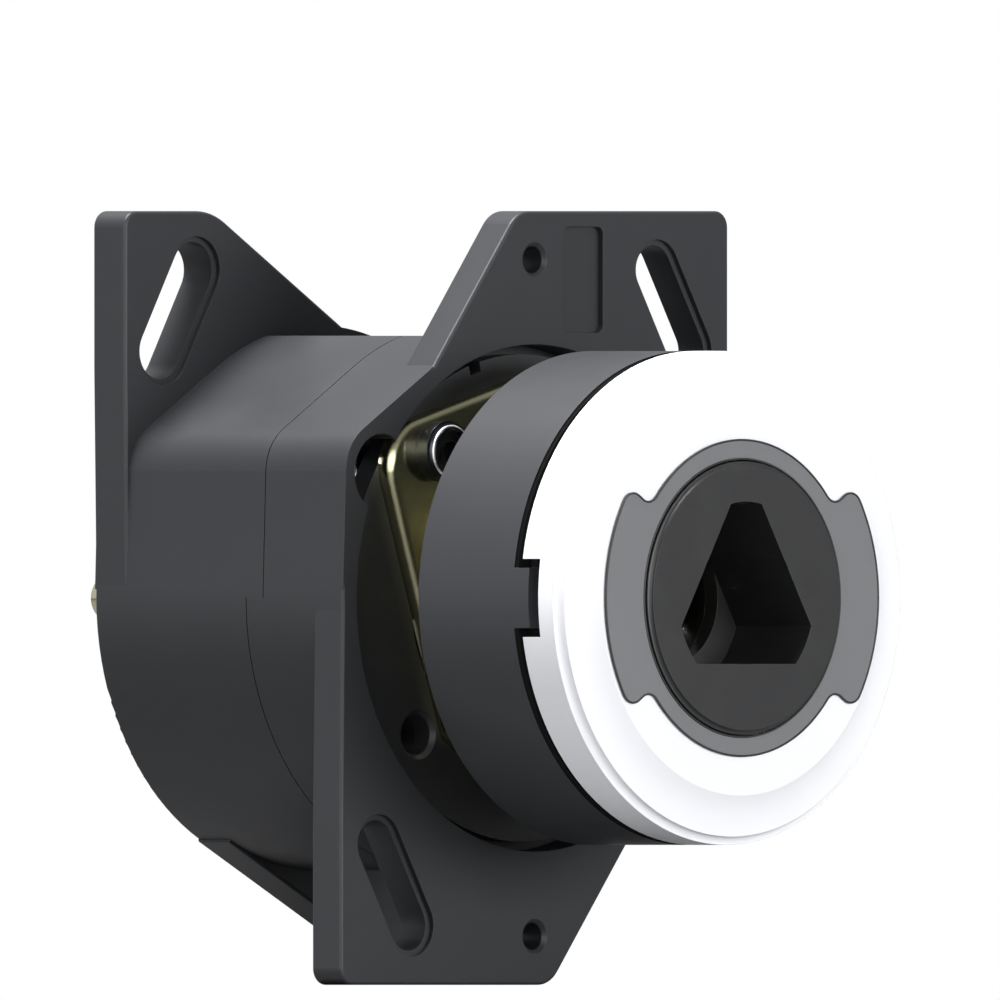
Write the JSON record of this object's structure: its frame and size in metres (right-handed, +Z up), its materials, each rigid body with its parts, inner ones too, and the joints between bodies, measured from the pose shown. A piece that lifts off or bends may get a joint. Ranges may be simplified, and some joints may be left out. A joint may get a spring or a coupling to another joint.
{
  "type": "medical gas outlet",
  "caption": "Wall outlet for medical air: flanged round housing, brass valve block and keyed probe socket behind a white release cap.",
  "frame": {"origin": "on the outlet's axis, in the front face of the front flange, midway between its two small holes", "axes": "-Y is the front that the probe enters from, +Y runs back along the axis to the hose tail, +Z is up"},
  "size_m": [0.0668, 0.1095, 0.094],
  "materials": {
    "housing": "satin moulded",
    "carrier": "satin moulded",
    "sleeve": "satin moulded",
    "insert": "matt moulded",
    "cap": "gloss moulded",
    "label": "satin",
    "brass": "turned",
    "steel": "zinc plated",
    "spring": "drawn wire",
    "rubber": "moulded",
    "fibre": "punched fibre"
  },
  "bodies": {
    "housing": {"rear_housing": "housing", "front_flange": "housing", "housing_screws": "steel", "ring_plate": "carrier", "base_block": "brass", "clamp_screws": "steel", "service_spring": "spring", "inlet_nipple": "brass", "nipple_washer": "fibre", "union_nut": "brass", "hose_tail": "brass", "socket_body": "brass", "socket_o_ring": "rubber", "probe_seal": "rubber", "spring_plug": "brass", "check_spring": "spring", "release_spring": "spring", "gas_insert": "insert", "outer_sleeve": "sleeve"},
    "release_cap": {"release_cap": "cap", "label_plate": "label", "lock_sleeve": "brass"},
    "lock_pin_1": {"lock_pin_1": "steel"},
    "lock_pin_2": {"lock_pin_2": "steel"},
    "lock_pin_3": {"lock_pin_3": "steel"},
    "check_valve": {"check_poppet": "brass", "check_seal": "rubber"},
    "service_valve": {"service_poppet": "brass", "service_seal": "rubber"}
  },
  "joints": [
    {"name": "cap_press", "type": "slide", "parent": "housing", "child": "release_cap", "axis": [0, 1, 0], "range_m": [0, 0.0009], "stiffness_N_per_m": 1500, "springref_m": -0.004, "deforming": ["release_spring"]},
    {"name": "lock_pin_1_slide", "type": "slide", "parent": "housing", "child": "lock_pin_1", "axis": [0, 0, 1], "range_m": [0, 0.0009]},
    {"name": "lock_pin_2_slide", "type": "slide", "parent": "housing", "child": "lock_pin_2", "axis": [0.866, 0, -0.5], "range_m": [0, 0.0009]},
    {"name": "lock_pin_3_slide", "type": "slide", "parent": "housing", "child": "lock_pin_3", "axis": [-0.866, 0, -0.5], "range_m": [0, 0.0009]},
    {"name": "check_valve_slide", "type": "slide", "parent": "housing", "child": "check_valve", "axis": [0, 1, 0], "range_m": [0, 0.003], "stiffness_N_per_m": 600, "springref_m": -0.003, "deforming": ["check_spring"]},
    {"name": "service_valve_slide", "type": "slide", "parent": "housing", "child": "service_valve", "axis": [0, 1, 0], "range_m": [0, 0.002], "stiffness_N_per_m": 500, "springref_m": -0.004, "deforming": ["service_spring"]}
  ],
  "couplings": [
    {"joint": "lock_pin_1_slide", "follows": "cap_press", "ratio": 0.95},
    {"joint": "lock_pin_2_slide", "follows": "cap_press", "ratio": 0.95},
    {"joint": "lock_pin_3_slide", "follows": "cap_press", "ratio": 0.95}
  ]
}
